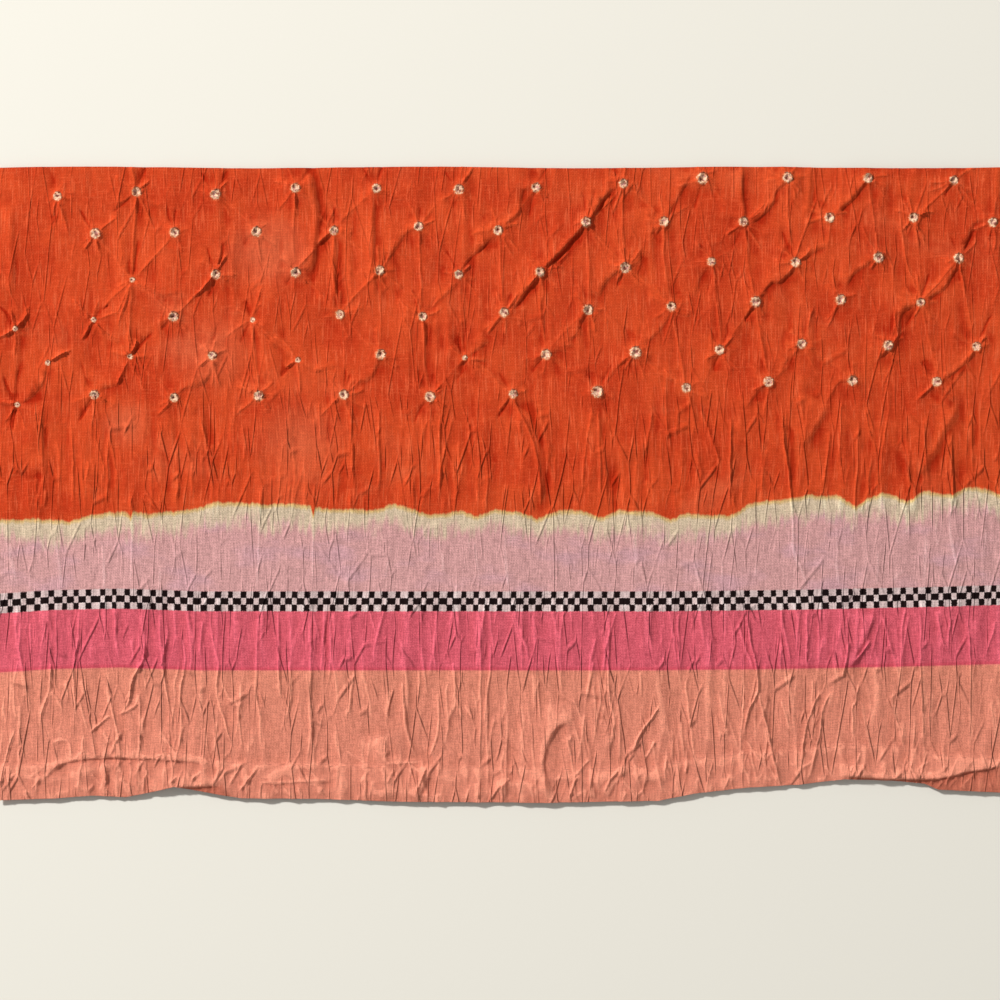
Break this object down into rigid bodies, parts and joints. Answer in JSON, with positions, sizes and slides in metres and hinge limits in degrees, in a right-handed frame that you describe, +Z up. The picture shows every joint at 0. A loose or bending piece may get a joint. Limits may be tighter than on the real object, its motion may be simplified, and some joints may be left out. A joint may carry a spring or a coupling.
{
  "type": "bandhani cloth",
  "caption": "Cut length of thin tie-dyed cotton lying flat in its folds, with a dotted ground, a checked woven stripe, two plain bands and a turned hem.",
  "frame": {"origin": "centre of the cloth's bounding box, on the plane that it lies on", "axes": "+X along the woven border, +Y from the hem to the dotted ground, +Z up"},
  "size_m": [0.252, 0.1588, 0.0035],
  "materials": {
    "cloth": "matt dyed plain-weave cotton"
  },
  "bodies": {
    "root": {"cloth": "cloth"}
  },
  "joints": []
}
